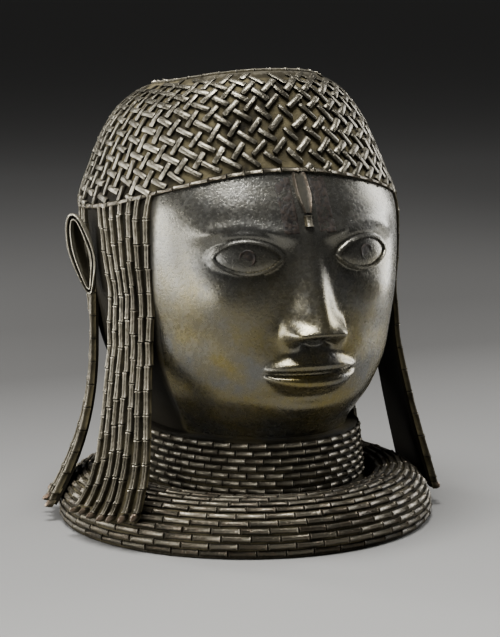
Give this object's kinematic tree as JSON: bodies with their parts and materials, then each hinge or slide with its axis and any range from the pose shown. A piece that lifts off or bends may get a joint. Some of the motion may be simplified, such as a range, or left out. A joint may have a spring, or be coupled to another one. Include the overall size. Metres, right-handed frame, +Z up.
{
  "type": "bronze commemorative head",
  "caption": "Hollow cast bronze head with a woven bead cap open at the crown, hanging strands of beads, a beaded neck collar and a broad beaded flange, inlaid with iron.",
  "frame": {"origin": "middle of the foot, on the surface it stands on", "axes": "+Z up, the face looks along -Y, the head's right side is -X"},
  "size_m": [0.211, 0.197, 0.2336],
  "materials": {
    "bronze": "dark patinated cast bronze, polished on the face, with dirt in the recesses of the beads",
    "iron": "rough, slightly rusted iron inlay"
  },
  "bodies": {
    "root": {"casting": "bronze", "forehead_inlay_right": "iron", "forehead_inlay_left": "iron", "pupil_right": "iron", "pupil_left": "iron"}
  },
  "joints": []
}
